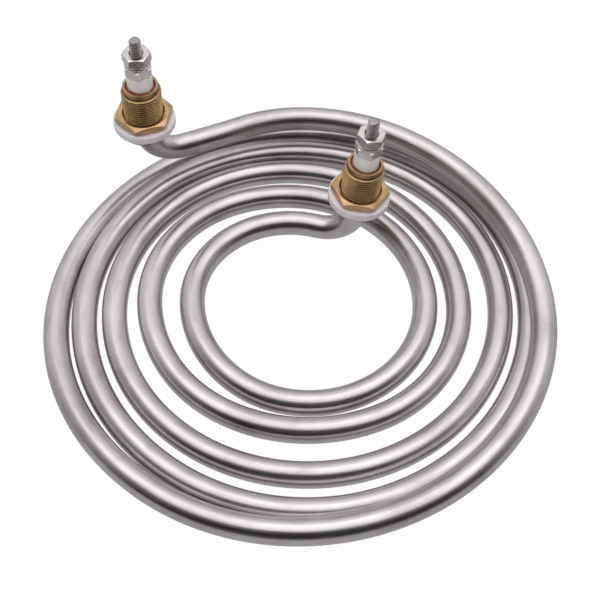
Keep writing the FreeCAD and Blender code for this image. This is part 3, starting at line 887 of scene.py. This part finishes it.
def make_room():
    """World whose brightness depends on the direction (x, y, z), with +Y the back.

    Brightness = wall + side + roof, where wall rises with y, side rises with |x| and fades
    towards the front, and roof rises with 0.35 y + 0.94 z, which is highest a little behind the
    top.
    """
    world = bpy.data.worlds.new("light_tent")
    bpy.context.scene.world = world
    world.use_nodes = True
    tree = world.node_tree
    tree.nodes.clear()
    direction = tree.nodes.new("ShaderNodeTexCoord")
    parts = tree.nodes.new("ShaderNodeSeparateXYZ")
    tree.links.new(direction.outputs["Generated"], parts.inputs["Vector"])

    def combine(operation, a, b=None):
        node = tree.nodes.new("ShaderNodeMath")
        node.operation = operation
        tree.links.new(a, node.inputs[0])
        if b is not None:
            tree.links.new(b, node.inputs[1])
        return node.outputs["Value"]

    wall = spread(tree, parts.outputs["Y"], FRONT_WALL, BACK_WALL, -0.45, 0.45)
    side = spread(tree, combine("ABSOLUTE", parts.outputs["X"]), 0.0, SIDE_WALL, 0.25, 0.7)
    fade = spread(tree, parts.outputs["Y"], 0.0, 1.0, -0.5, 0.3)
    lean = tree.nodes.new("ShaderNodeVectorMath")
    lean.operation = "DOT_PRODUCT"
    lean.inputs[1].default_value = (0, 0.35, 0.94)
    tree.links.new(direction.outputs["Generated"], lean.inputs[0])
    roof = spread(tree, lean.outputs["Value"], 0.0, ROOF, 0.62, 0.95)
    total = combine("ADD", combine("ADD", wall, roof), combine("MULTIPLY", side, fade))
    room = tree.nodes.new("ShaderNodeBackground")
    tree.links.new(total, room.inputs["Strength"])
    white = tree.nodes.new("ShaderNodeBackground")
    white.inputs["Color"].default_value = (1, 1, 1, 1)
    rays = tree.nodes.new("ShaderNodeLightPath")
    seen = tree.nodes.new("ShaderNodeMixShader")
    output = tree.nodes.new("ShaderNodeOutputWorld")
    tree.links.new(rays.outputs["Is Camera Ray"], seen.inputs["Fac"])
    tree.links.new(room.outputs["Background"], seen.inputs[1])
    tree.links.new(white.outputs["Background"], seen.inputs[2])
    tree.links.new(seen.outputs["Shader"], output.inputs["Surface"])


make_room()

# %% [markdown]
# The overhead light is a real lamp, so that it casts the soft shadow. A second, smaller lamp in
# front lifts the ceramic and the washers. It is kept out of the metal's reflections, where it would
# fill the dark band.

# %% Lamps
def make_lamp(name, place, size, strength):
    """Rectangular soft light at place, aimed at the object; strength is its brightness as seen."""
    data = bpy.data.lights.new(name, "AREA")
    data.shape = "RECTANGLE"
    data.size, data.size_y = size
    data.energy = strength * math.pi * size[0] * size[1]
    lamp = bpy.data.objects.new(name, data)
    bpy.context.scene.collection.objects.link(lamp)
    away = unit(place)
    across = unit(np.cross([0, 1, 0.001], away))
    up = np.cross(away, across)
    lamp.matrix_world = Matrix([[*row] for row in np.vstack([
        np.column_stack([across, up, away, place]), [0, 0, 0, 1]])])
    print("%s: %.1f W" % (name, data.energy))
    return lamp


make_lamp("overhead", np.array([0.0, 0.0, 0.80]), (1.2, 0.80), 0.85)
fill = make_lamp("front_fill", np.array([0.0, -0.60, 0.50]), (0.8, 0.6), 1.0)
fill.visible_glossy = False

# %% [markdown]
# The floor is a plain white sheet. Seen by the camera it glows softly to white, and a small part of
# its light is still worked out in the usual way, so that it keeps the shadow under the coil. Metal
# shows the same sheet, at half the brightness.


# %% Floor
GLOW_SHARE, FLOOR_IN_METAL = 0.97, 0.5


def make_floor():
    """Large plane at the coil's lowest level; white where seen, with the shadow kept."""
    mesh = bpy.data.meshes.new("floor")
    half = 3.0
    corners = [(-half, -half, 0), (half, -half, 0), (half, half, 0), (-half, half, 0)]
    mesh.from_pydata(corners, [], [(0, 1, 2, 3)])
    floor = bpy.data.objects.new("floor", mesh)
    bpy.context.scene.collection.objects.link(floor)
    material = bpy.data.materials.new("white_sheet")
    material.use_nodes = True
    tree = material.node_tree
    shader = tree.nodes["Principled BSDF"]
    shader.inputs["Base Color"].default_value = (0.92, 0.92, 0.92, 1)
    shader.inputs["Roughness"].default_value = 0.9
    shader.inputs["Specular IOR Level"].default_value = 0.0
    glow = tree.nodes.new("ShaderNodeEmission")
    glow.inputs["Color"].default_value = (1, 1, 1, 1)
    rays = tree.nodes.new("ShaderNodeLightPath")
    strength = spread(tree, rays.outputs["Is Glossy Ray"], 1.0, FLOOR_IN_METAL, 0, 1)
    tree.links.new(strength, glow.inputs["Strength"])
    seen = rays.outputs["Is Camera Ray"]
    for kind in ("Is Transmission Ray", "Is Glossy Ray"):
        either = tree.nodes.new("ShaderNodeMath")
        either.operation = "MAXIMUM"
        tree.links.new(seen, either.inputs[0])
        tree.links.new(rays.outputs[kind], either.inputs[1])
        seen = either.outputs["Value"]
    share = tree.nodes.new("ShaderNodeMath")
    share.operation = "MULTIPLY"
    share.inputs[1].default_value = GLOW_SHARE
    tree.links.new(seen, share.inputs[0])
    blend = tree.nodes.new("ShaderNodeMixShader")
    tree.links.new(share.outputs["Value"], blend.inputs["Fac"])
    tree.links.new(shader.outputs["BSDF"], blend.inputs[1])
    tree.links.new(glow.outputs["Emission"], blend.inputs[2])
    tree.links.new(blend.outputs["Shader"], tree.nodes["Material Output"].inputs["Surface"])
    mesh.materials.append(material)


make_floor()

# %% [markdown]
# The camera stands in front and looks down at 55 degrees, from 0.4 m with a lens of about 69 mm. It
# is tipped by a little over one degree, and the middle of its view is between one and two
# millimetres off the coil's centre.


# %% Camera
def make_camera(elevation, distance, lens, shift_x, shift_y, roll):
    """Camera aimed at the coil's centre; roll turns its right and up vectors together."""
    e, r = math.radians(elevation), math.radians(roll)
    away = np.array([0, -math.cos(e), math.sin(e)])
    right, up = np.array([1.0, 0, 0]), np.array([0, math.sin(e), math.cos(e)])
    right, up = right * math.cos(r) + up * math.sin(r), up * math.cos(r) - right * math.sin(r)
    place = -ORIGIN / 1000 + away * distance
    data = bpy.data.cameras.new("camera")
    data.sensor_width = 36
    data.lens = lens
    data.shift_x, data.shift_y = shift_x, shift_y
    data.clip_start, data.clip_end = 0.01, 20
    camera = bpy.data.objects.new("camera", data)
    bpy.context.scene.collection.objects.link(camera)
    camera.matrix_world = Matrix([[*row] for row in np.vstack([
        np.column_stack([right, up, away, place]), [0, 0, 0, 1]])])
    bpy.context.scene.camera = camera


make_camera(54.86, 0.4022, 68.84, 0.0021, 0.0068, 1.35)
bpy.context.scene.view_settings.view_transform = "Standard"

# %% [markdown]
# Last, the view layer is brought up to date.

# %% Update the view layer
bpy.context.view_layer.update()
